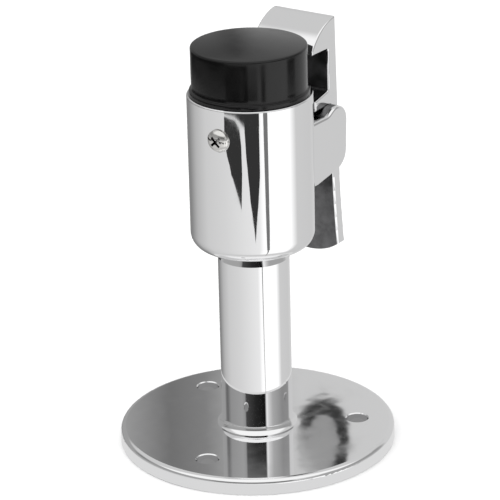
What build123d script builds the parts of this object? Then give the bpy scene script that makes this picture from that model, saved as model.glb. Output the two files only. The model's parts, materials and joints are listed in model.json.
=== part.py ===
from build123d import *
import os
from math import cos, radians, sin, sqrt

# A post-mounted door stop with a sprung hook that holds the door open.
# Millimetres. The origin is the centre of the flange's underside. +Z runs up the post to the
# rubber bumper, and +Y points to the side of the head that carries the hook lever.

# Mounting flange
flange_dia = 70.0
flange_thick = 4.2
flange_edge_round = 1.3
flange_under_edge = 0.3
fixing_count = 3
fixing_pcd = 51.0
fixing_hole_dia = 5.5
fixing_edge_break = 0.25
flange_turn = 5.0  # the flange is bolted on this many degrees round from the head

# Post, a turned bar with a flared foot and a tapered neck under the head
post_dia = 18.0
post_neck_dia = 16.0
post_neck_z = 49.8
foot_dia = 20.4
foot_rim = 0.25
foot_flare = 1.9
spigot_dia = 12.0
spigot_long = 3.6
spigot_gap = 0.1
spigot_edge_break = 0.3

# Head, a cast cup with two cheeks
head_dia = 31.2
head_base_z = 52.8
head_rim_z = 92.6
head_base_round = 4.0
head_rim_round = 0.35
core_bore_dia = 24.0
core_seat_z = 78.0
access_bore_dia = 18.0
head_floor_z = 66.0
cheek_outer_half = 12.0
slot_half = 9.2
slot_floor_y = 15.2
cheek_edge_round = 0.8
cast_joint_round = 0.5
cheek_top_z = 83.3
cheek_root_y = 17.0
cheek_hump_y = 20.5
cheek_hump_z = 85.2
cheek_tip_y = 25.6
cheek_tip_z = 83.4
cheek_low_tip_y = 25.0
cheek_low_tip_z = 68.7
cheek_base_z = 66.4
cheek_low_root_y = 12.0
cheek_base_rise = 0.2
cheek_round = 4.0
cheek_low_round = 5.0

# Rubber bumper and the metal core that holds it
bumper_dia = 28.8
bumper_lip_dia = 29.9
bumper_lip_high = 1.35
bumper_edge_z = 104.8
bumper_crown = 0.9
bumper_edge_round = 0.5
bumper_lip_round = 0.3
core_fit = 0.1
core_lead_in = 0.5
core_neck_dia = 8.0
core_neck_high = 3.4
core_cap_dia = 16.0
core_cap_high = 2.4

# Side screw of the bumper, an M3 cross-recess pan head
side_screw_z = 84.9
side_screw_dia = 3.0
side_screw_long = 9.0
side_screw_head_dia = 5.6
side_screw_head_high = 1.9
side_screw_seat = 15.15
side_screw_azimuth = 4.5  # degrees round from -Y, as the head was drilled
side_screw_turn = 41.5
side_screw_gap = 0.2
cross_recess_long = 3.1
cross_recess_wide = 0.62
cross_recess_deep = 1.4

# Hook lever and its pivot
lever_half = 9.0
pivot_y = 20.5
pivot_z = 77.0
pivot_pin_dia = 4.0
pin_running_gap = 0.05
pin_wall = 1.1
hub_radius = 5.0
hub_half = 6.0
heel_edge_z = 84.4
lever_top_y = 24.9
lever_top_flat = 0.7
lever_top_z = 106.8
lever_bend_y = 26.1
lever_bend_z = 72.0
tail_thick = 3.1
tail_base_y = 28.6
tail_base_z = 43.0
tail_base_curve = 14.5
throat_y = 21.6
throat_top_z = 99.2
throat_floor_z = 88.2
heel_floor_z = 86.9
nose_y = 14.5
nose_blunt_z = 100.2
cam_bulge = 1.4
nose_front_radius = 15.9
throat_corner_round = 0.6
lever_edge_round = 0.4

# Compression spring between the head and the lever's tail
spring_z = 69.5
spring_wire_dia = 0.6
spring_mean_dia = 4.0
spring_turns = 7
spring_seat_y = 12.6
spring_lever_seat_y = 23.7
spring_pocket_dia = 5.2

# M6 screws that hold the flange and the head to the post
stud_dia = 6.0
stud_gap = 0.05
stud_point = 0.5
base_screw_long = 18.0
base_screw_head_dia = 12.0
base_screw_recess = 0.4
clearance_hole_dia = 6.6
head_bolt_long = 25.0
head_bolt_head_dia = 10.0
head_bolt_head_high = 6.0
washer_outer_dia = 11.8
washer_inner_dia = 6.2
washer_thick = 1.6
washer_split = 1.2
washer_split_slant = 20
hex_key_across = 5.0
base_hex_key_across = 4.0

post_radius = post_dia / 2
head_radius = head_dia / 2
foot_top_z = flange_thick + foot_rim + foot_flare


def turned(outline):
    """A solid turned about Z from a closed outline of (radius, z) points and edges."""
    face = make_face(outline)
    return revolve(Plane.XZ * face, Axis.Z, 360)


def lathe(points):
    """A solid turned about Z from straight runs between (radius, z) points."""
    return turned(Polyline(*points, close=True))


def drill(radius, start, end):
    """A round bar from one point to another, to add or to cut away."""
    way = Vector(*end) - Vector(*start)
    place = Plane(origin=start, z_dir=way)
    return place * Cylinder(radius, way.length, align=(Align.CENTER, Align.CENTER, Align.MIN))


def hex_socket(across, depth):
    """A hexagonal key socket whose mouth is on Z = 0 and which goes down."""
    socket = extrude(RegularPolygon(across / sqrt(3), 6), -depth)
    return socket


def side_screw_way(distance):
    """A point on the side screw's line, so far out from the post's axis."""
    azimuth = radians(side_screw_azimuth)
    return (distance * sin(azimuth), -distance * cos(azimuth), side_screw_z)


def base_flange():
    disc = Cylinder(flange_dia / 2, flange_thick, align=(Align.CENTER, Align.CENTER, Align.MIN))
    rims = disc.edges().filter_by(GeomType.CIRCLE).sort_by(Axis.Z)
    disc = fillet(rims[-1], flange_edge_round)
    under = disc.edges().filter_by(GeomType.CIRCLE).sort_by(Axis.Z)[0]
    disc = chamfer(under, flange_under_edge)
    hole = lathe([
        (0, -1),
        (fixing_hole_dia / 2, -1),
        (fixing_hole_dia / 2, flange_thick - fixing_edge_break),
        (fixing_hole_dia / 2 + fixing_edge_break + 0.5, flange_thick + 0.5),
        (0, flange_thick + 0.5),
    ])
    for number in range(fixing_count):
        angle = 30 + flange_turn + number * 360 / fixing_count
        disc -= Rot(0, 0, angle) * Pos(fixing_pcd / 2, 0, 0) * hole
    head_radius_here = base_screw_head_dia / 2 + 0.1
    cone_depth = head_radius_here - clearance_hole_dia / 2
    disc -= lathe([
        (0, -1),
        (head_radius_here, -1),
        (head_radius_here, base_screw_recess),
        (clearance_hole_dia / 2, base_screw_recess + cone_depth),
        (clearance_hole_dia / 2, flange_thick + 1),
        (0, flange_thick + 1),
    ])
    return disc


def post():
    rim_z = flange_thick + foot_rim
    foot_radius = foot_dia / 2
    spigot_radius = spigot_dia / 2
    bend = foot_flare * (1 - cos(radians(45)))
    outline = Polyline((0, flange_thick), (foot_radius, flange_thick), (foot_radius, rim_z))
    outline += ThreePointArc(
        (foot_radius, rim_z),
        (post_radius + bend, rim_z + bend),
        (post_radius, foot_top_z),
    )
    outline += Polyline(
        (post_radius, foot_top_z),
        (post_radius, post_neck_z),
        (post_neck_dia / 2, head_base_z),
        (spigot_radius, head_base_z),
        (spigot_radius, head_base_z + spigot_long - spigot_edge_break),
        (spigot_radius - spigot_edge_break, head_base_z + spigot_long),
        (0, head_base_z + spigot_long),
        (0, flange_thick),
    )
    bar = turned(outline)
    thread_radius = stud_dia / 2 + stud_gap
    bar -= drill(thread_radius, (0, 0, flange_thick - 1), (0, 0, base_screw_long + 2))
    bolt_end_z = head_floor_z + washer_thick - head_bolt_long
    bar -= drill(thread_radius, (0, 0, bolt_end_z - 2), (0, 0, head_base_z + spigot_long + 1))
    return bar


def cheek_outline():
    """The side view of a cheek: an ear round the pivot, humped at the top."""
    ear = make_face(Polyline(
        (0, cheek_top_z),
        (cheek_root_y, cheek_top_z),
        (cheek_hump_y, cheek_hump_z),
        (cheek_tip_y, cheek_tip_z),
        (cheek_low_tip_y, cheek_low_tip_z),
        (cheek_low_root_y, cheek_base_z + cheek_base_rise),
        (0, cheek_base_z),
        close=True,
    ))
    rounds = [
        ((cheek_tip_y, cheek_tip_z), cheek_round),
        ((cheek_low_tip_y, cheek_low_tip_z), cheek_low_round),
        ((cheek_hump_y, cheek_hump_z), cheek_round),
        ((cheek_root_y, cheek_top_z), cheek_round),
    ]
    for place, radius in rounds:
        corner = ear.vertices().sort_by_distance(place)[0]
        ear = fillet(corner, radius)
    return ear


def cheeks():
    """Both cheeks and the wall between them, with their outer edges rounded."""
    ears = extrude(Plane.YZ * cheek_outline(), cheek_outer_half, both=True)
    sides = ears.edges().filter_by(lambda edge: abs(edge.center().X) > cheek_outer_half - 0.1)
    rims = sides.filter_by(lambda edge: edge.center().Y > 1)
    return fillet(rims, cheek_edge_round)


def cast_joint(edge):
    """Whether an edge lies where the cheeks grow out of the round of the head."""
    spots = [edge.position_at(share) for share in (0, 0.3, 0.6, 1)]
    on_round = all(abs(sqrt(spot.X ** 2 + spot.Y ** 2) - head_radius) < 0.01 for spot in spots)
    level = cheek_base_z - 1 < edge.center().Z < cheek_top_z + 1
    return on_round and level and edge.center().Y > 5


def head_housing():
    cup = lathe([(0, head_base_z), (head_radius, head_base_z), (head_radius, head_rim_z), (0, head_rim_z)])
    rings = cup.edges().filter_by(GeomType.CIRCLE).sort_by(Axis.Z)
    cup = fillet(rings[0], head_base_round)
    rings = cup.edges().filter_by(GeomType.CIRCLE).sort_by(Axis.Z)
    cup = fillet(rings[-1], head_rim_round)
    body = cup + cheeks()
    body = fillet(body.edges().filter_by(cast_joint), cast_joint_round)
    slot = Box(2 * slot_half, 20, 60, align=(Align.CENTER, Align.MIN, Align.MIN))
    body -= Pos(0, slot_floor_y, cheek_base_z - 5) * slot
    body -= drill(core_bore_dia / 2, (0, 0, core_seat_z), (0, 0, head_rim_z + 1))
    body -= drill(access_bore_dia / 2, (0, 0, head_floor_z), (0, 0, core_seat_z + 1))
    body -= drill(clearance_hole_dia / 2, (0, 0, head_base_z - 1), (0, 0, head_floor_z + 1))
    body -= drill(
        spigot_dia / 2 + spigot_gap,
        (0, 0, head_base_z - 1),
        (0, 0, head_base_z + spigot_long + 2 * spigot_gap),
    )
    body -= drill(side_screw_dia / 2 + side_screw_gap, side_screw_way(0), side_screw_way(20))
    body -= drill(
        side_screw_head_dia / 2 + side_screw_gap,
        side_screw_way(side_screw_seat),
        side_screw_way(20),
    )
    body -= drill(spring_pocket_dia / 2, (0, spring_seat_y, spring_z), (0, 20, spring_z))
    pin_end_x = cheek_outer_half - pin_wall
    body -= drill(pivot_pin_dia / 2, (-20, pivot_y, pivot_z), (pin_end_x, pivot_y, pivot_z))
    return body


def bumper():
    """The rubber buffer, moulded round the cap of its core."""
    radius = bumper_dia / 2
    lip_radius = bumper_lip_dia / 2
    lip_top_z = head_rim_z + bumper_lip_high
    outline = Polyline(
        (0, head_rim_z),
        (lip_radius, head_rim_z),
        (lip_radius, lip_top_z),
        (radius, lip_top_z),
        (radius, bumper_edge_z),
    )
    outline += ThreePointArc(
        (radius, bumper_edge_z),
        (radius * 0.52, bumper_edge_z + bumper_crown * 0.73),
        (0, bumper_edge_z + bumper_crown),
    )
    outline += Line((0, bumper_edge_z + bumper_crown), (0, head_rim_z))
    buffer = turned(outline)
    rings = buffer.edges().filter_by(GeomType.CIRCLE)
    top_ring = rings.filter_by(lambda ring: abs(ring.center().Z - bumper_edge_z) < 0.01)
    buffer = fillet(top_ring, bumper_edge_round)
    rings = buffer.edges().filter_by(GeomType.CIRCLE)
    lip_rings = rings.filter_by(lambda ring: abs(ring.radius - lip_radius) < 0.01)
    buffer = fillet(lip_rings, bumper_lip_round)
    return buffer - core_cap()


def core_cap():
    """The neck and the cap of the core, which the rubber grips."""
    return lathe([
        (0, head_rim_z - 1),
        (core_neck_dia / 2, head_rim_z - 1),
        (core_neck_dia / 2, head_rim_z + core_neck_high),
        (core_cap_dia / 2, head_rim_z + core_neck_high),
        (core_cap_dia / 2, head_rim_z + core_neck_high + core_cap_high),
        (0, head_rim_z + core_neck_high + core_cap_high),
    ])


def bumper_core():
    plug_radius = core_bore_dia / 2 - core_fit
    plug = lathe([
        (0, core_seat_z),
        (plug_radius - core_lead_in, core_seat_z),
        (plug_radius, core_seat_z + core_lead_in),
        (plug_radius, head_rim_z),
        (0, head_rim_z),
    ])
    core = plug + core_cap()
    thread_end = side_screw_seat - side_screw_long - 1.5
    hole_radius = side_screw_dia / 2 + stud_gap
    core -= drill(hole_radius, side_screw_way(thread_end), side_screw_way(20))
    return core


def bumper_screw():
    """An M3 screw made along +Z, then laid on its line in the side of the head."""
    head_radius_here = side_screw_head_dia / 2
    crown_z = side_screw_head_high
    outline = Polyline(
        (0, -side_screw_long),
        (side_screw_dia / 2 - 0.4, -side_screw_long),
        (side_screw_dia / 2, 0.4 - side_screw_long),
        (side_screw_dia / 2, 0),
        (head_radius_here, 0),
        (head_radius_here, crown_z * 0.45),
    )
    outline += ThreePointArc(
        (head_radius_here, crown_z * 0.45),
        (head_radius_here * 0.72, crown_z * 0.86),
        (0, crown_z),
    )
    outline += Line((0, crown_z), (0, -side_screw_long))
    screw = turned(outline)
    wing = Box(
        cross_recess_long,
        cross_recess_wide,
        cross_recess_deep,
        align=(Align.CENTER, Align.CENTER, Align.MAX),
    )
    for turn in (0, 90):
        screw -= Pos(0, 0, crown_z + 0.2) * Rot(0, 0, turn + side_screw_turn) * wing
    azimuth = radians(side_screw_azimuth)
    seat = Plane(
        origin=side_screw_way(side_screw_seat),
        x_dir=(cos(azimuth), sin(azimuth), 0),
        z_dir=(sin(azimuth), -cos(azimuth), 0),
    )
    return seat * screw


def lever_back_at(z):
    """How far back the straight upper part of the lever's outer face stands at a height."""
    lean = (lever_bend_y - lever_top_y) / (lever_top_z - lever_bend_z)
    return lever_top_y + lean * (lever_top_z - z)


def lever_outline():
    """The side view of the hook lever's wide part: its back face, the tail, the heel and the hook."""
    down_the_back = (lever_bend_y - lever_top_y, lever_bend_z - lever_top_z)
    heel_back_y = lever_back_at(heel_edge_z) - tail_thick
    heel_front_y = pivot_y - hub_radius
    bend = (lever_bend_y, lever_bend_z)
    inner_bend = (lever_bend_y - tail_thick, lever_bend_z)
    tail_tip = (tail_base_y, tail_base_z)
    inner_tail_tip = (tail_base_y - tail_thick, tail_base_z)
    outline = Line((lever_top_y, lever_top_z), bend)
    outline += TangentArc(bend, tail_tip, tangent=down_the_back)
    outline += Line(tail_tip, inner_tail_tip)
    outline += TangentArc(inner_bend, inner_tail_tip, tangent=down_the_back)
    outline += Polyline(
        inner_bend,
        (heel_back_y, heel_edge_z),
        (heel_front_y, heel_edge_z),
        (heel_front_y, heel_floor_z),
        (throat_y, throat_floor_z),
        (throat_y, throat_top_z),
        (nose_y, throat_top_z),
        (nose_y, nose_blunt_z),
    )
    cam_end_y = lever_top_y - lever_top_flat
    chord_mid_y = (nose_y + cam_end_y) / 2
    chord_mid_z = (nose_blunt_z + lever_top_z) / 2
    outline += ThreePointArc(
        (nose_y, nose_blunt_z),
        (chord_mid_y - cam_bulge * 0.5, chord_mid_z + cam_bulge * 0.86),
        (cam_end_y, lever_top_z),
    )
    outline += Line((cam_end_y, lever_top_z), (lever_top_y, lever_top_z))
    side_view = make_face(outline)
    inner_corners = [
        (heel_back_y, heel_edge_z),
        (throat_y, throat_floor_z),
        (throat_y, throat_top_z),
    ]
    for place in inner_corners:
        corner = side_view.vertices().sort_by_distance(place)[0]
        side_view = fillet(corner, throat_corner_round)
    return side_view


def lever_hub():
    """The hub round the pivot pin, narrower than the heel above it and the tail behind it."""
    front_y = pivot_y - hub_radius
    inside_y = lever_bend_y - tail_thick / 2
    block = make_face(Polyline(
        (front_y, pivot_z),
        (front_y, heel_edge_z + 1),
        (inside_y, heel_edge_z + 1),
        (inside_y, pivot_z),
        close=True,
    ))
    side_view = block + Pos(pivot_y, pivot_z) * Circle(hub_radius)
    return extrude(Plane.YZ * side_view, hub_half, both=True)


def hook_lever():
    lever = extrude(Plane.YZ * lever_outline(), lever_half, both=True)
    lever = lever & tail_envelope()
    lever -= drill(nose_front_radius, (0, 0, throat_top_z - 5), (0, 0, lever_top_z + 5))
    edges = lever.edges().filter_by(lambda edge: abs(edge.center().X) > lever_half - 0.01)
    lever = fillet(edges, lever_edge_round)
    lever += lever_hub()
    bore_radius = pivot_pin_dia / 2 + pin_running_gap
    lever -= drill(bore_radius, (-lever_half - 1, pivot_y, pivot_z), (lever_half + 1, pivot_y, pivot_z))
    lever -= drill(
        spring_pocket_dia / 2,
        (0, slot_floor_y, spring_z),
        (0, spring_lever_seat_y, spring_z),
    )
    return lever


def tail_envelope():
    """Everything above the tail's rounded lower edge."""
    rise = tail_base_curve - sqrt(tail_base_curve ** 2 - lever_half ** 2)
    side_z = tail_base_z + rise
    outline = Polyline(
        (lever_half, side_z),
        (lever_half, lever_top_z + 1),
        (-lever_half, lever_top_z + 1),
        (-lever_half, side_z),
    )
    outline += ThreePointArc((-lever_half, side_z), (0, tail_base_z), (lever_half, side_z))
    front_view = Plane.XZ * make_face(outline)
    return extrude(front_view, -40)


def pivot_pin():
    length = 2 * cheek_outer_half - pin_wall - 4 * pin_running_gap
    pin = Cylinder(pivot_pin_dia / 2, length, align=(Align.CENTER, Align.CENTER, Align.MIN))
    pin = chamfer(pin.edges().filter_by(GeomType.CIRCLE), 0.25)
    far_x = pin_running_gap - cheek_outer_half
    far_face = Plane(origin=(far_x, pivot_y, pivot_z), z_dir=(1, 0, 0))
    return far_face * pin


def lever_spring():
    wire_radius = spring_wire_dia / 2
    length = spring_lever_seat_y - spring_seat_y - spring_wire_dia - 0.1
    pitch = length / spring_turns
    line = Helix(pitch, length, spring_mean_dia / 2)
    section = Plane(origin=line @ 0, z_dir=line % 0) * Circle(wire_radius)
    coil = sweep(section, line, is_frenet=True)
    seat = Plane(origin=(0, spring_seat_y + wire_radius + 0.05, spring_z), z_dir=(0, 1, 0))
    return seat * coil


def base_screw():
    """A countersunk M6 screw from under the flange into the foot of the post."""
    cone = (base_screw_head_dia - stud_dia) / 2
    screw = lathe([
        (0, base_screw_recess),
        (base_screw_head_dia / 2, base_screw_recess),
        (stud_dia / 2, base_screw_recess + cone),
        (stud_dia / 2, base_screw_long - stud_point),
        (stud_dia / 2 - stud_point, base_screw_long),
        (0, base_screw_long),
    ])
    socket = Pos(0, 0, base_screw_recess) * Rot(180, 0, 0) * hex_socket(base_hex_key_across, 2.2)
    return screw - socket


def head_bolt():
    """A socket cap screw down through the head's floor into the top of the post."""
    seat_z = head_floor_z + washer_thick
    top_z = seat_z + head_bolt_head_high
    bolt = lathe([
        (0, seat_z - head_bolt_long),
        (stud_dia / 2 - stud_point, seat_z - head_bolt_long),
        (stud_dia / 2, seat_z - head_bolt_long + stud_point),
        (stud_dia / 2, seat_z),
        (head_bolt_head_dia / 2, seat_z),
        (head_bolt_head_dia / 2, top_z - 0.4),
        (head_bolt_head_dia / 2 - 0.4, top_z),
        (0, top_z),
    ])
    return bolt - Pos(0, 0, top_z) * hex_socket(hex_key_across, 3.0)


def lock_washer():
    outer_radius = washer_outer_dia / 2
    ring = Circle(outer_radius) - Circle(washer_inner_dia / 2)
    cut = Rectangle(outer_radius + 2, washer_split)
    split = Pos(outer_radius, 0) * Rot(0, 0, washer_split_slant) * cut
    return Pos(0, 0, head_floor_z) * extrude(ring - split, washer_thick)


pieces = {
    "base_flange": base_flange,
    "post": post,
    "base_screw": base_screw,
    "head_housing": head_housing,
    "head_bolt": head_bolt,
    "lock_washer": lock_washer,
    "bumper": bumper,
    "bumper_core": bumper_core,
    "bumper_screw": bumper_screw,
    "hook_lever": hook_lever,
    "pivot_pin": pivot_pin,
    "lever_spring": lever_spring,
}

os.makedirs("parts", exist_ok=True)
for name, make in pieces.items():
    export_step(make(), "parts/" + name + ".step")
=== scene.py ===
import json
import math

import bmesh
import bpy
from mathutils import Matrix, Vector


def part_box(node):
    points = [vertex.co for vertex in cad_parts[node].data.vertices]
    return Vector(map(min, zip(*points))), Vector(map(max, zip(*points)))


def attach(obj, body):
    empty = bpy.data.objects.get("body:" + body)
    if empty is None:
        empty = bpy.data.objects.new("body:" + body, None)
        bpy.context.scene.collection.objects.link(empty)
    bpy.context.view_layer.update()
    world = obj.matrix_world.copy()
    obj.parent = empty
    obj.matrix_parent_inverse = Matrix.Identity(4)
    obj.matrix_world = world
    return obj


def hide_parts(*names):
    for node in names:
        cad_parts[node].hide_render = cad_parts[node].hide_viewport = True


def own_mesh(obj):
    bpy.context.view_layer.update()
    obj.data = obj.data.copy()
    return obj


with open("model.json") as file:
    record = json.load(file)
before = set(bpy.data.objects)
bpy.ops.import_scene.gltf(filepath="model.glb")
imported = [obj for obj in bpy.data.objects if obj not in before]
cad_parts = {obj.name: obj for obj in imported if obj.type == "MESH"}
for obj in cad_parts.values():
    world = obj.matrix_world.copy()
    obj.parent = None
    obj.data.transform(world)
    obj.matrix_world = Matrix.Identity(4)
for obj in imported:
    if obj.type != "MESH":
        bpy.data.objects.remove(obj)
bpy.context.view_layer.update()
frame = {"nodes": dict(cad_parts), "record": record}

# A post-mounted door stop with a sprung hook, in metres.
# +Z runs up the post, and +Y points to the hook lever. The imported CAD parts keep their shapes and
# get materials here. The rubber bumper and the spring are remade as finer meshes.

# Camera, which looks down at the head from the front right
CAMERA_TURN = math.radians(34.8)
CAMERA_OUT = 0.6714
CAMERA_UP = 0.3159
CAMERA_DOWN_TILT = math.radians(21.53)
CAMERA_SIDE_TILT = math.radians(-0.075)
CAMERA_ROLL = math.radians(-1.4)
CAMERA_LENS = 207.8
SENSOR_WIDTH = 36.0

# Studio
FLOOR_RADIUS = 1.6
ROOM_RADIUS = 5.0
FLOOR_LEVEL = 0.93
FLOOR_CLOUDS = 0.01
FLOOR_CLOUD_SIZE = 300.0
ROOM_LEVEL = 1.0
SUN_STRENGTH = 1.9
SUN_WIDTH = math.radians(100)
SUN_TILT = math.radians(12)
SUN_TURN = math.radians(-40)
CARD_HEIGHT = 0.0006
NEAR_FLOOR_RADIUS = 0.044
CORNER_STEPS = 10
CARD_LEVEL = 52
CARD_LINE_LEVEL = 118
NEAR_FLOOR_LEVEL = 222
# Painted shadow under the flange, seen through its holes
UNDER_FLANGE_SHADOW_LEVEL = 140
UNDER_FLANGE_INSET = 0.001

# Rubber bumper, fitted on the rim of the head
BUMPER_LIP_RADIUS = 0.01493
BUMPER_FOOT_RADIUS = 0.01436
BUMPER_TOP_RADIUS = 0.01439
BUMPER_LIP_HIGH = 0.00132
BUMPER_CROWN = 0.00088
BUMPER_FOOT_ROUND = 0.0002
BUMPER_LIP_ROUND = 0.00035
BUMPER_ROOT_ROUND = 0.0003
BUMPER_EDGE_ROUND = 0.00055
BUMPER_SIDES = 192

# Spring between the head and the lever
SPRING_WIRE_RADIUS = 0.0003
SPRING_RADIUS = 0.002
SPRING_TURNS = 7
SPRING_END_TURNS = 1.1
SPRING_STEPS = 28
SPRING_WIRE_SIDES = 12


def grey(level):
    """The linear light of a grey that a screen shows at a level from 0 to 255."""
    share = level / 255
    return share / 12.92 if share < 0.04045 else ((share + 0.055) / 1.055) ** 2.4


# ---------------------------------------------------------------- node helpers

def node(tree, kind, **settings):
    made = tree.nodes.new(kind)
    for key, value in settings.items():
        setattr(made, key, value)
    return made


def set_inputs(made, **values):
    """Give sockets their values, with an underscore for each space in a socket's name."""
    for key, value in values.items():
        made.inputs[key.replace("_", " ")].default_value = value
    return made


def feed(tree, socket, value):
    """Set a socket to a number, or link another socket to it."""
    if isinstance(value, (int, float)):
        socket.default_value = value
    else:
        tree.links.new(value, socket)


def calc(tree, operation, first, second=0.0, third=0.0):
    made = node(tree, "ShaderNodeMath", operation=operation)
    for socket, value in zip(made.inputs, (first, second, third)):
        feed(tree, socket, value)
    return made.outputs["Value"]


def spread(tree, value, low, high, to_low=0.0, to_high=1.0):
    """Ease a value from one range to another."""
    made = node(tree, "ShaderNodeMapRange", interpolation_type="SMOOTHSTEP")
    set_inputs(made, From_Min=low, From_Max=high, To_Min=to_low, To_Max=to_high)
    tree.links.new(value, made.inputs["Value"])
    return made.outputs["Result"]


def spread_evenly(tree, value, low, high):
    """Move a value evenly from one range to 0 to 1."""
    made = node(tree, "ShaderNodeMapRange")
    set_inputs(made, From_Min=low, From_Max=high)
    tree.links.new(value, made.inputs["Value"])
    return made.outputs["Result"]


def ramp(tree, source, stops):
    """Grey levels along a value, from (place, level) stops with levels from 0 to 255."""
    made = node(tree, "ShaderNodeValToRGB")
    elements = made.color_ramp.elements
    while len(elements) < len(stops):
        elements.new(0.5)
    for element, (place, level) in zip(elements, stops):
        element.position = place
        element.color = (grey(level), grey(level), grey(level), 1)
    tree.links.new(source, made.inputs["Fac"])
    return made.outputs["Color"]


def blend_colours(tree, share, first, second):
    made = node(tree, "ShaderNodeMix", data_type="RGBA")
    feed(tree, made.inputs["Factor"], share)
    for socket, value in ((made.inputs["A"], first), (made.inputs["B"], second)):
        if isinstance(value, tuple):
            socket.default_value = value
        else:
            tree.links.new(value, socket)
    return made.outputs["Result"]


def place_in_millimetres(tree, stretch=(1, 1, 1)):
    """The place in the object's frame, in millimetres, stretched along each axis."""
    spot = node(tree, "ShaderNodeTexCoord")
    made = node(tree, "ShaderNodeMapping")
    made.inputs["Scale"].default_value = [1000 * share for share in stretch]
    tree.links.new(spot.outputs["Object"], made.inputs["Vector"])
    return made.outputs["Vector"]


def noise(tree, size, detail=3.0, roughness=0.5, stretch=(1, 1, 1)):
    """Noise from 0 to 1 with blotches of about a size in millimetres."""
    made = node(tree, "ShaderNodeTexNoise")
    set_inputs(made, Scale=1 / size, Detail=detail, Roughness=roughness)
    tree.links.new(place_in_millimetres(tree, stretch), made.inputs["Vector"])
    return made.outputs["Fac"]


def bump(tree, shader, height, strength, depth, below=None):
    """A bump of a depth in metres, on top of another where one is given."""
    made = node(tree, "ShaderNodeBump")
    set_inputs(made, Strength=strength, Distance=depth)
    tree.links.new(height, made.inputs["Height"])
    if below is not None:
        tree.links.new(below, made.inputs["Normal"])
    tree.links.new(made.outputs["Normal"], shader.inputs["Normal"])
    return made.outputs["Normal"]


def new_material(name):
    material = bpy.data.materials.new(name)
    material.use_nodes = True
    tree = material.node_tree
    return material, tree, tree.nodes["Principled BSDF"]


# ---------------------------------------------------------------- materials

CHROME = (0.94, 0.94, 0.945)
NICKEL = (0.8, 0.79, 0.77)
STEEL = (0.55, 0.555, 0.57)
# Painted shade, dark and mottled, for the hook's throat and the slot between the head's cheeks
SHADE_DARK = (0.05, 0.05, 0.052, 1)
SHADE_PALE = (0.34, 0.34, 0.345, 1)
# Painted shade for recesses
RECESS_SHADE = (0.02, 0.02, 0.02, 1)
OXIDE_DARK = (0.016, 0.016, 0.018, 1)
OXIDE_BROWN = (0.05, 0.046, 0.043, 1)
RUBBER_DARK = (0.0015, 0.0015, 0.0016, 1)
RUBBER_DULL = (0.003, 0.0029, 0.0029, 1)
WIRE_DARK = (0.34, 0.34, 0.35, 1)
WIRE_BRIGHT = (0.56, 0.56, 0.58, 1)


def tinted(colour, share):
    return tuple(channel * share for channel in colour) + (1,)


def inside(tree, low, high, edge=0.25):
    """1 inside a box of the object's frame and 0 outside it, in millimetres."""
    spot = node(tree, "ShaderNodeSeparateXYZ")
    tree.links.new(place_in_millimetres(tree), spot.inputs["Vector"])
    share = None
    for axis, start, end in zip(spot.outputs, low, high):
        above = spread(tree, axis, start, start + edge)
        below = spread(tree, axis, end - edge, end, 1.0, 0.0)
        both = calc(tree, "MULTIPLY", above, below)
        share = both if share is None else calc(tree, "MULTIPLY", share, both)
    return share


def facing_post(tree):
    """1 on faces that look towards -Y, from the hook lever to the post, and 0 on the others."""
    normal = node(tree, "ShaderNodeTexCoord").outputs["Normal"]
    parts = node(tree, "ShaderNodeSeparateXYZ")
    tree.links.new(normal, parts.inputs["Vector"])
    return spread(tree, calc(tree, "MULTIPLY", parts.outputs["Y"], -1.0), 0.86, 0.95)


def painted_shade_over(tree, share, colour, roughness):
    """Painted shade with a rougher surface: a dark mottled colour over the share of the surface that
    lies in the hook's throat or between the cheeks.
    """
    mottle = noise(tree, 3.0, detail=5.0, roughness=0.6)
    shade_colour = blend_colours(tree, mottle, SHADE_DARK, SHADE_PALE)
    shade_roughness = spread(tree, mottle, 0.3, 0.8, 0.3, 0.45)
    dull = calc(tree, "MULTIPLY", share, shade_roughness)
    return blend_colours(tree, share, colour, shade_colour), calc(tree, "MAXIMUM", roughness, dull)


def painted_recess_shade(tree, depth, colour):
    """Painted shade: a colour that goes near black in recesses up to a depth in metres."""
    shelter = node(tree, "ShaderNodeAmbientOcclusion", samples=12, only_local=True)
    set_inputs(shelter, Distance=depth)
    open_share = spread(tree, shelter.outputs["AO"], 0.35, 0.8)
    return blend_colours(tree, open_share, RECESS_SHADE, colour)


def polished_plate(name, colour, gloss, haze, ripple, painted_shade=None, recess_shade_depth=0.0):
    """Bright plating over polished metal: a slight ripple, hairline scratches and faint smudges.

    The optional share function gives where shade is painted in, as a dark mottled and rougher
    colour, and the optional depth in metres gives the recesses in which shade is painted near black.
    """
    material, tree, shader = new_material(name)
    set_inputs(shader, Metallic=1.0)
    clouds = noise(tree, 14.0, detail=2.0)
    colour_now = blend_colours(tree, clouds, tinted(colour, 0.985), tinted(colour, 1.0))
    hairlines = noise(tree, 0.5, detail=6.0, roughness=0.7, stretch=(1.0, 1.0, 0.06))
    scratches = spread(tree, hairlines, 0.66, 0.8)
    smudges = spread(tree, noise(tree, 9.0, detail=4.0), 0.45, 0.8)
    smudge_haze = calc(tree, "MULTIPLY", smudges, haze)
    scratch_haze = calc(tree, "MULTIPLY_ADD", scratches, haze, gloss)
    roughness = calc(tree, "ADD", smudge_haze, scratch_haze)
    # Painted shade over the given share of the surface
    if painted_shade is not None:
        colour_now, roughness = painted_shade_over(tree, painted_shade(tree), colour_now, roughness)
    # Painted shade in recesses
    if recess_shade_depth > 0:
        colour_now = painted_recess_shade(tree, recess_shade_depth, colour_now)
    tree.links.new(colour_now, shader.inputs["Base Color"])
    feed(tree, shader.inputs["Roughness"], roughness)
    swell = bump(tree, shader, noise(tree, 6.0, detail=1.0), ripple, 0.00012)
    bump(tree, shader, scratches, 0.03, 0.00001, below=swell)
    return material


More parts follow.
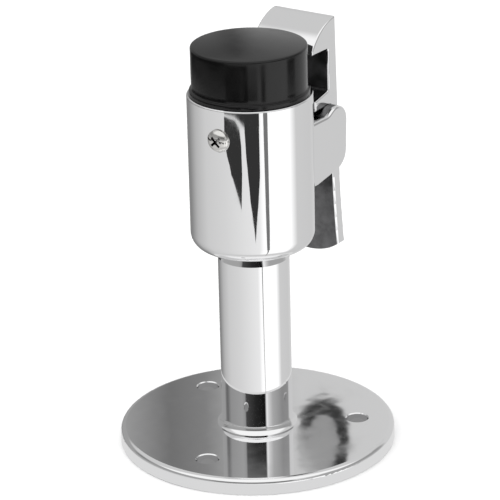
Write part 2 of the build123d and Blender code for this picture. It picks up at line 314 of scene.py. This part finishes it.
def shade_in_hook(tree):
    """Where shade is painted: inside the hook's throat and on the inner face of the tail."""
    throat = inside(tree, (-8.7, 10, 84.9), (8.7, 21.8, 99.35))
    behind_nose = inside(tree, (-8.7, 16, 40), (8.7, 27, 99.35))
    inner = calc(tree, "MULTIPLY", facing_post(tree), behind_nose)
    return calc(tree, "MAXIMUM", throat, inner)


def shade_in_slot(tree):
    """Where shade is painted: between the cheeks, and on the inner half of their edges."""
    return inside(tree, (-11.2, 15.25, 60), (11.2, 24.5, 90))


def turned_steel(name, colour, gloss, ring_size):
    """Plain machined steel: fine tool lines, a mottled dull plate and darker specks."""
    material, tree, shader = new_material(name)
    set_inputs(shader, Metallic=1.0)
    mottle = noise(tree, 2.2, detail=5.0, roughness=0.6)
    colour_now = blend_colours(tree, mottle, tinted(colour, 0.82), tinted(colour, 1.08))
    tree.links.new(colour_now, shader.inputs["Base Color"])
    lines = noise(tree, ring_size, detail=3.0, stretch=(0.08, 0.08, 1.0))
    feed(tree, shader.inputs["Roughness"], spread(tree, mottle, 0.3, 0.75, gloss, gloss + 0.14))
    bump(tree, shader, lines, 0.25, 0.00003)
    return material


def black_oxide(name):
    """Blackened steel: a dark satin skin, a little brown where it is thin."""
    material, tree, shader = new_material(name)
    set_inputs(shader, Metallic=0.85)
    mottle = noise(tree, 1.4, detail=5.0, roughness=0.65)
    colour_now = blend_colours(tree, mottle, OXIDE_DARK, OXIDE_BROWN)
    tree.links.new(colour_now, shader.inputs["Base Color"])
    feed(tree, shader.inputs["Roughness"], spread(tree, mottle, 0.3, 0.7, 0.32, 0.5))
    bump(tree, shader, noise(tree, 0.35, detail=2.0), 0.2, 0.00003)
    return material


def moulded_rubber(name):
    """Smooth black rubber: a fine grain, a soft sheen and slightly duller patches."""
    material, tree, shader = new_material(name)
    set_inputs(shader, Specular_IOR_Level=0.42)
    patches = noise(tree, 5.0, detail=4.0)
    colour_now = blend_colours(tree, patches, RUBBER_DARK, RUBBER_DULL)
    tree.links.new(colour_now, shader.inputs["Base Color"])
    feed(tree, shader.inputs["Roughness"], spread(tree, patches, 0.25, 0.8, 0.13, 0.2))
    swell = bump(tree, shader, noise(tree, 3.5, detail=2.0), 0.08, 0.00012)
    bump(tree, shader, noise(tree, 0.22, detail=3.0), 0.08, 0.00002, below=swell)
    return material


def drawn_wire(name):
    """Bright spring wire with fine drawing marks."""
    material, tree, shader = new_material(name)
    set_inputs(shader, Metallic=1.0)
    marks = noise(tree, 0.3, detail=4.0, roughness=0.7)
    colour_now = blend_colours(tree, marks, WIRE_DARK, WIRE_BRIGHT)
    tree.links.new(colour_now, shader.inputs["Base Color"])
    feed(tree, shader.inputs["Roughness"], spread(tree, marks, 0.3, 0.7, 0.16, 0.3))
    bump(tree, shader, marks, 0.15, 0.00001)
    return material


# Chrome with painted shade inside the hook's throat and between the head's cheeks
CHROME_WITH_PAINTED_SHADE = {"head_housing": "chrome_head_shaded", "hook_lever": "chrome_lever_shaded"}


def slot_materials():
    return {
        "chrome": polished_plate("chrome", CHROME, gloss=0.022, haze=0.035, ripple=0.05),
        "chrome_head_shaded": polished_plate(
            "chrome_head_shaded", CHROME, gloss=0.022, haze=0.035, ripple=0.05, painted_shade=shade_in_slot,
        ),
        "chrome_lever_shaded": polished_plate(
            "chrome_lever_shaded", CHROME, gloss=0.03, haze=0.05, ripple=0.12, painted_shade=shade_in_hook,
        ),
        # Nickel with painted shade in the screw's recess
        "nickel": polished_plate("nickel", NICKEL, gloss=0.12, haze=0.08, ripple=0.12, recess_shade_depth=0.0012),
        "steel": turned_steel("steel", STEEL, gloss=0.24, ring_size=0.25),
        "black_steel": black_oxide("black_steel"),
        "spring_steel": drawn_wire("spring_steel"),
        "rubber": moulded_rubber("rubber"),
    }


def dress_nodes(materials):
    """Give each CAD node the material of its slot in the record, or for the head and the lever,
    chrome with painted shade in their hollows.
    """
    for part in frame["record"]["subparts"]:
        finish = CHROME_WITH_PAINTED_SHADE.get(part["node"], part["material_slot"])
        data = frame["nodes"][part["node"]].data
        data.materials.clear()
        data.materials.append(materials[finish])


# ---------------------------------------------------------------- pieces

def mesh_object(name, shape, material):
    """An object from a bmesh, with smooth faces and one material."""
    bmesh.ops.recalc_face_normals(shape, faces=shape.faces)
    for face in shape.faces:
        face.smooth = True
    data = bpy.data.meshes.new(name)
    shape.to_mesh(data)
    shape.free()
    data.materials.append(material)
    made = bpy.data.objects.new(name, data)
    bpy.context.scene.collection.objects.link(made)
    return made


def arc(centre, radius, start, end, steps):
    """Points along an arc, with angles in degrees from the radius towards +Z."""
    points = []
    for step in range(steps + 1):
        angle = math.radians(start + (end - start) * step / steps)
        points.append((centre[0] + radius * math.cos(angle), centre[1] + radius * math.sin(angle)))
    return points


def bumper_profile(base_z, top_z):
    """The bumper's outline as (radius, z) points, from the middle of its foot to its crown."""
    foot_round = BUMPER_FOOT_ROUND
    lip_round = BUMPER_LIP_ROUND
    root_round = BUMPER_ROOT_ROUND
    edge_round = BUMPER_EDGE_ROUND
    lip_top_z = base_z + BUMPER_LIP_HIGH
    edge_z = top_z - BUMPER_CROWN
    foot_centre = (BUMPER_LIP_RADIUS - foot_round, base_z + foot_round)
    lip_centre = (BUMPER_LIP_RADIUS - lip_round, lip_top_z - lip_round)
    root_centre = (BUMPER_FOOT_RADIUS + root_round, lip_top_z + root_round)
    points = [(0.0, base_z), (BUMPER_LIP_RADIUS * 0.9, base_z)]
    points += arc(foot_centre, foot_round, -90, 0, 3)
    points += arc(lip_centre, lip_round, 0, 90, 6)
    points += arc(root_centre, root_round, 270, 180, 5)
    wall_steps = 10
    wall_foot_z = lip_top_z + root_round
    wall_top_z = edge_z - edge_round
    for step in range(1, wall_steps):
        share = step / wall_steps
        flare = 1 - (1 - share) ** 2
        radius = BUMPER_FOOT_RADIUS + (BUMPER_TOP_RADIUS - BUMPER_FOOT_RADIUS) * flare
        points.append((radius, wall_foot_z + (wall_top_z - wall_foot_z) * share))
    points += arc((BUMPER_TOP_RADIUS - edge_round, wall_top_z), edge_round, 0, 83, 8)
    crown_steps = 14
    crown_radius, crown_z = points[-1]
    for step in range(1, crown_steps):
        radius = crown_radius * (1 - step / crown_steps)
        fall = (radius / crown_radius) ** 2
        points.append((radius, top_z - (top_z - crown_z) * fall))
    points.append((0.0, top_z))
    return points


def turned_shape(points, sides):
    """A closed mesh turned about Z from (radius, z) points, whose ends lie on the axis."""
    shape = bmesh.new()
    rings = []
    for radius, z in points:
        if radius == 0:
            rings.append([shape.verts.new((0, 0, z))])
            continue
        ring = []
        for side in range(sides):
            angle = 2 * math.pi * side / sides
            spot = (radius * math.cos(angle), radius * math.sin(angle), z)
            ring.append(shape.verts.new(spot))
        rings.append(ring)
    for lower, upper in zip(rings, rings[1:]):
        for side in range(sides):
            corners = [
                lower[side % len(lower)],
                lower[(side + 1) % len(lower)],
                upper[(side + 1) % len(upper)],
                upper[side % len(upper)],
            ]
            shape.faces.new(list(dict.fromkeys(corners)))
    return shape


def make_bumper(material):
    low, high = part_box("bumper")
    shape = turned_shape(bumper_profile(low[2], high[2]), BUMPER_SIDES)
    bumper = mesh_object("rubber_bumper", shape, material)
    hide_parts("bumper")
    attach(bumper, "stand")


def spring_line(start_y, end_y, z):
    """The centre of the wire: two closed ends and open turns between them."""
    end_rise = SPRING_WIRE_RADIUS * 2.05 * SPRING_END_TURNS
    open_turns = SPRING_TURNS - 2 * SPRING_END_TURNS
    open_rise = end_y - start_y - 2 * end_rise
    points = []
    for step in range(SPRING_TURNS * SPRING_STEPS + 1):
        turn = step / SPRING_STEPS
        in_end = min(turn, SPRING_END_TURNS)
        in_open = min(max(turn - SPRING_END_TURNS, 0), open_turns)
        in_last = max(turn - SPRING_END_TURNS - open_turns, 0)
        rise = (in_end + in_last) / SPRING_END_TURNS * end_rise + in_open / open_turns * open_rise
        angle = 2 * math.pi * turn
        points.append(Vector((
            SPRING_RADIUS * math.cos(angle),
            start_y + rise,
            z + SPRING_RADIUS * math.sin(angle),
        )))
    return points


def wire_shape(points):
    """A round closed wire along a spring's line."""
    shape = bmesh.new()
    rings = []
    for index, point in enumerate(points):
        ahead = points[min(index + 1, len(points) - 1)]
        behind = points[max(index - 1, 0)]
        along = (ahead - behind).normalized()
        across = along.cross(Vector((0, 1, 0))).normalized()
        up = across.cross(along)
        ring = []
        for side in range(SPRING_WIRE_SIDES):
            angle = 2 * math.pi * side / SPRING_WIRE_SIDES
            offset = across * math.cos(angle) + up * math.sin(angle)
            ring.append(shape.verts.new(point + offset * SPRING_WIRE_RADIUS))
        rings.append(ring)
    for first, second in zip(rings, rings[1:]):
        for side in range(SPRING_WIRE_SIDES):
            after = (side + 1) % SPRING_WIRE_SIDES
            shape.faces.new((first[side], first[after], second[after], second[side]))
    shape.faces.new(rings[0])
    shape.faces.new(rings[-1])
    return shape


def make_spring(material):
    low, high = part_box("lever_spring")
    z = (low[2] + high[2]) / 2
    start_y = low[1] + SPRING_WIRE_RADIUS
    end_y = high[1] - SPRING_WIRE_RADIUS
    spring = mesh_object("coil_spring", wire_shape(spring_line(start_y, end_y, z)), material)
    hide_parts("lever_spring")
    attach(spring, "stand")
    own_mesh(spring)


# ---------------------------------------------------------------- studio

def add_camera():
    turn = Matrix.Rotation(CAMERA_TURN, 3, "Z")
    ahead = Vector((
        math.sin(CAMERA_SIDE_TILT) * math.cos(CAMERA_DOWN_TILT),
        math.cos(CAMERA_SIDE_TILT) * math.cos(CAMERA_DOWN_TILT),
        -math.sin(CAMERA_DOWN_TILT),
    ))
    right = ahead.cross(Vector((0, 0, 1))).normalized()
    up = right.cross(ahead)
    rolled_right = right * math.cos(CAMERA_ROLL) + up * math.sin(CAMERA_ROLL)
    rolled_up = up * math.cos(CAMERA_ROLL) - right * math.sin(CAMERA_ROLL)
    axes = [turn @ axis for axis in (rolled_right, rolled_up, -ahead)]
    camera = bpy.data.objects.new("camera", bpy.data.cameras.new("camera"))
    camera.data.lens = CAMERA_LENS
    camera.data.sensor_width = SENSOR_WIDTH
    place = turn @ Vector((0, -CAMERA_OUT, CAMERA_UP))
    camera.matrix_world = Matrix.Translation(place) @ Matrix(axes).transposed().to_4x4()
    bpy.context.scene.collection.objects.link(camera)
    bpy.context.scene.camera = camera


# What stands round the object below eye level, and above it, as screen levels. Angles are degrees to
# the right of the side that the camera stands on.
SURROUNDINGS = [
    (-180, 150),
    (-163, 138),
    (-150, 134),
    (-140, 150),
    (-120, 184),
    (-90, 208),
    (-50, 217),
    (-30, 224),
    (12, 238),
    (19, 262),
    (31, 268),
    (74, 268),
    (90, 208),
    (135, 204),
    (165, 214),
    (180, 228),
]
UPPER_SURROUNDINGS = [
    (-180, 150),
    (-140, 150),
    (-112, 105),
    (-95, 150),
    (-50, 162),
    (-40, 150),
    (-36, 70),
    (-6, 40),
    (26, 15),
    (31, 245),
    (38, 215),
    (52, 175),
    (90, 142),
    (140, 150),
    (180, 160),
]


STEEP_LEVEL = 205
PLAIN_FRONT_LEVEL = 165
FRONT_CEILING_LEVEL = 252
BACK_CEILING_LEVEL = 206

# How much of the upper surroundings shows at a height above the horizon, from 0 to 255. The post's
# neck mirrors the lower band, and the foot of the post mirrors the upper band by way of the flange.
DARK_BANDS = [
    (0.20, 0), (0.23, 255), (0.28, 255), (0.295, 0),
    (0.345, 0), (0.36, 255), (0.43, 255), (0.46, 0),
]

# What stands behind the object, as the flange's top mirrors it: screen levels along a share of its
# width, from left to right.
BACK_WALL = [(0.0, 160), (0.11, 157), (0.25, 115), (0.35, 130), (0.42, 160), (0.62, 203), (1.0, 208)]
BACK_HALF_WIDE = 0.06
BACK_TOP_LEVEL = 200
LOOP_LEVEL = 45
LOOP_RIGHT = 0.0225
LOOP_UP = 0.428
LOOP_HALF_WIDE = 0.0085
LOOP_HALF_HIGH = 0.013


def dark_loop(tree, right, up):
    """A dark ring behind, like a cable or a clamp, and a weaker shade inside it."""
    across = calc(tree, "MULTIPLY_ADD", right, 1 / LOOP_HALF_WIDE, -LOOP_RIGHT / LOOP_HALF_WIDE)
    along = calc(tree, "MULTIPLY_ADD", up, 1 / LOOP_HALF_HIGH, -LOOP_UP / LOOP_HALF_HIGH)
    squares = calc(tree, "ADD", calc(tree, "POWER", across, 2.0), calc(tree, "POWER", along, 2.0))
    distance = calc(tree, "SQRT", squares)
    off_ring = calc(tree, "ABSOLUTE", calc(tree, "SUBTRACT", distance, 0.85))
    ring = spread(tree, off_ring, 0.16, 0.3, 1.0, 0.0)
    on_right = spread(tree, calc(tree, "SUBTRACT", across, along), -1.1, 0.1, 0.35, 1.0)
    inner = spread(tree, distance, 0.7, 0.9, 0.5, 0.0)
    return calc(tree, "MAXIMUM", calc(tree, "MULTIPLY", ring, on_right), inner)


def round_room(tree, share, stops):
    return ramp(tree, share, [(0.5 + degrees / 360, level) for degrees, level in stops])


def flat_grey(level):
    return (grey(level), grey(level), grey(level), 1)


def by_direction(tree):
    """The direction of the light: to the camera's right, behind the object, and up, each up to 1."""
    direction = node(tree, "ShaderNodeTexCoord").outputs["Generated"]
    turned = node(tree, "ShaderNodeVectorRotate", rotation_type="Z_AXIS")
    turned.inputs["Angle"].default_value = -CAMERA_TURN
    tree.links.new(direction, turned.inputs["Vector"])
    axes = node(tree, "ShaderNodeSeparateXYZ")
    tree.links.new(turned.outputs["Vector"], axes.inputs["Vector"])
    return axes.outputs


def back_wall(tree, right, up):
    """What stands behind the object, with the dark loop and a plain top."""
    back = ramp(tree, spread_evenly(tree, right, -BACK_HALF_WIDE, BACK_HALF_WIDE), BACK_WALL)
    back = blend_colours(tree, dark_loop(tree, right, up), back, flat_grey(LOOP_LEVEL))
    return blend_colours(tree, spread(tree, up, 0.46, 0.52), back, flat_grey(BACK_TOP_LEVEL))


def front_wall(tree, round_share, up):
    """What stands in front and at the sides, where only two bands show it."""
    front = round_room(tree, round_share, UPPER_SURROUNDINGS)
    return blend_colours(tree, ramp(tree, up, DARK_BANDS), flat_grey(PLAIN_FRONT_LEVEL), front)


def paint_surroundings():
    """The light of the room by direction: panels near the floor, darker walls, a bright ceiling."""
    world = bpy.data.worlds.new("studio")
    bpy.context.scene.world = world
    world.use_nodes = True
    tree = world.node_tree
    right, behind, up = by_direction(tree)
    ahead = calc(tree, "MULTIPLY", behind, -1.0)
    angle = calc(tree, "ARCTAN2", right, ahead)
    round_share = calc(tree, "MULTIPLY_ADD", angle, 0.5 / math.pi, 0.5)
    near_floor = spread(tree, up, -0.84, -0.7, 1.0, 0.0)
    around = round_room(tree, round_share, SURROUNDINGS)
    low = blend_colours(tree, near_floor, around, flat_grey(STEEP_LEVEL))
    is_back = spread(tree, behind, 0.45, 0.6)
    front = front_wall(tree, round_share, up)
    walls = blend_colours(tree, is_back, front, back_wall(tree, right, up))
    is_back_ceiling = spread(tree, behind, 0.0, 0.25)
    front_ceiling = flat_grey(FRONT_CEILING_LEVEL)
    ceiling = blend_colours(tree, is_back_ceiling, front_ceiling, flat_grey(BACK_CEILING_LEVEL))
    high = blend_colours(tree, spread(tree, up, 0.5, 0.6), walls, ceiling)
    light = blend_colours(tree, spread(tree, up, -0.1, 0.02), low, high)
    tree.links.new(light, tree.nodes["Background"].inputs["Color"])


def seen_only_by(obj, camera=False, glossy=False):
    obj.visible_camera = camera
    obj.visible_glossy = glossy
    obj.visible_diffuse = False
    obj.visible_transmission = False
    obj.visible_volume_scatter = False
    obj.visible_shadow = False


def glow_material(name, level):
    material = bpy.data.materials.new(name)
    material.use_nodes = True
    tree = material.node_tree
    tree.nodes.remove(tree.nodes["Principled BSDF"])
    glow = node(tree, "ShaderNodeEmission")
    glow.inputs["Color"].default_value = (level, level, level, 1)
    tree.links.new(glow.outputs["Emission"], tree.nodes["Material Output"].inputs["Surface"])
    return material


def add_floor():
    """A round pale floor that takes shadows. The metal reflects the painted surroundings instead."""
    material, tree, shader = new_material("pale_floor")
    pale = tinted((1, 1, 1), FLOOR_LEVEL)
    paler = tinted((1, 1, 1), FLOOR_LEVEL + FLOOR_CLOUDS)
    clouds = noise(tree, FLOOR_CLOUD_SIZE)
    tree.links.new(blend_colours(tree, clouds, pale, paler), shader.inputs["Base Color"])
    set_inputs(shader, Roughness=0.9, Specular_IOR_Level=0.0)
    shape = bmesh.new()
    bmesh.ops.create_circle(shape, cap_ends=True, segments=128, radius=FLOOR_RADIUS)
    floor = mesh_object("floor", shape, material)
    floor.visible_glossy = False


def add_room():
    """A pale backdrop all round, which only the camera sees."""
    shape = bmesh.new()
    bmesh.ops.create_icosphere(shape, subdivisions=4, radius=ROOM_RADIUS)
    room = mesh_object("backdrop", shape, glow_material("backdrop", ROOM_LEVEL))
    seen_only_by(room, camera=True)


# Cards round the object on the floor, which only reflections show: a mid grey line, and dark ones.
# Each corner is the height on the head at which its reflection shows, in metres, and its degrees
# to the right of the camera's side.
CARDS = {
    "card_left": [
        (0.0895, -47), (0.082, -47), (0.075, -36), (0.0684, -23), (0.066, -19),
        (0.075, -16.5), (0.082, -17), (0.0865, -20), (0.0885, -28),
    ],
    "card_middle": [
        (0.087, -11), (0.080, -9), (0.074, -6), (0.068, -3), (0.060, 3),
        (0.057, 4), (0.062, 7), (0.068, 11), (0.075, 14.6), (0.087, 14.6),
    ],
    "card_far": [
        (0.0905, -47), (0.0898, -28), (0.0878, -16), (0.087, -11), (0.087, 15),
        (0.0935, 15), (0.0935, -4), (0.118, -4), (0.118, -47),
    ],
    "card_line": [
        (0.012, 25.5), (0.047, 24.5), (0.060, 23.5), (0.0938, 22), (0.118, 21.5),
        (0.118, 30.5), (0.0938, 30), (0.060, 29.5), (0.047, 27), (0.012, 26.5),
    ],
    "card_wide": [(0.0938, -152), (0.0938, -47), (0.150, -47), (0.150, -152)],
    "card_right": [(0.0938, 78), (0.0938, 98), (0.118, 98), (0.118, 78)],
}


def floor_distance(height):
    """How far from the post's axis the floor lies that the camera sees in the head at a height."""
    head_radius = -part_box("head_housing")[0][0]
    return height * CAMERA_OUT / (CAMERA_UP - height) + head_radius


def card_outline(corners):
    """Points of a card with its corners joined by runs that curve round the post."""
    points = []
    for (height, degrees), (next_height, next_degrees) in zip(corners, corners[1:] + corners[:1]):
        for step in range(CORNER_STEPS):
            share = step / CORNER_STEPS
            distance = floor_distance(height + (next_height - height) * share)
            angle = CAMERA_TURN + math.radians(degrees + (next_degrees - degrees) * share)
            points.append((distance * math.sin(angle), -distance * math.cos(angle), CARD_HEIGHT))
    return points


def add_cards():
    for name, corners in CARDS.items():
        level = CARD_LINE_LEVEL if name == "card_line" else CARD_LEVEL
        material = glow_material(name, grey(level))
        shape = bmesh.new()
        shape.faces.new([shape.verts.new(point) for point in card_outline(corners)])
        card = mesh_object(name, shape, material)
        seen_only_by(card, glossy=True)


def add_near_floor():
    """The paper close round the flange, a glowing disc that only reflections show, which its edge
    mirrors, and a glowing grey disc under the flange, seen through its holes, that paints the
    floor's shadow there.
    """
    flange_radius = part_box("base_flange")[1][0]
    shape = bmesh.new()
    bmesh.ops.create_circle(shape, cap_ends=True, segments=128, radius=NEAR_FLOOR_RADIUS)
    paper = mesh_object("near_floor", shape, glow_material("near_floor", grey(NEAR_FLOOR_LEVEL)))
    paper.location.z = CARD_HEIGHT / 3
    seen_only_by(paper, glossy=True)
    shape = bmesh.new()
    # A glowing grey disc that paints the shadow under the flange
    shade_radius = flange_radius - UNDER_FLANGE_INSET
    bmesh.ops.create_circle(shape, cap_ends=True, segments=96, radius=shade_radius)
    glow = glow_material("painted_shadow_under_flange", grey(UNDER_FLANGE_SHADOW_LEVEL))
    shade = mesh_object("painted_shadow_under_flange", shape, glow)
    shade.location.z = CARD_HEIGHT / 2
    seen_only_by(shade, camera=True, glossy=True)


def add_sun():
    light = bpy.data.lights.new("soft_sun", "SUN")
    light.energy = SUN_STRENGTH
    light.angle = SUN_WIDTH
    sun = bpy.data.objects.new("soft_sun", light)
    sun.rotation_euler = (SUN_TILT, 0, CAMERA_TURN + SUN_TURN)
    sun.visible_glossy = False
    bpy.context.scene.collection.objects.link(sun)


add_camera()
paint_surroundings()
add_floor()
add_room()
add_cards()
add_near_floor()
add_sun()
materials = slot_materials()
dress_nodes(materials)
make_bumper(materials["rubber"])
make_spring(materials["spring_steel"])
bpy.context.scene.view_settings.view_transform = "Standard"
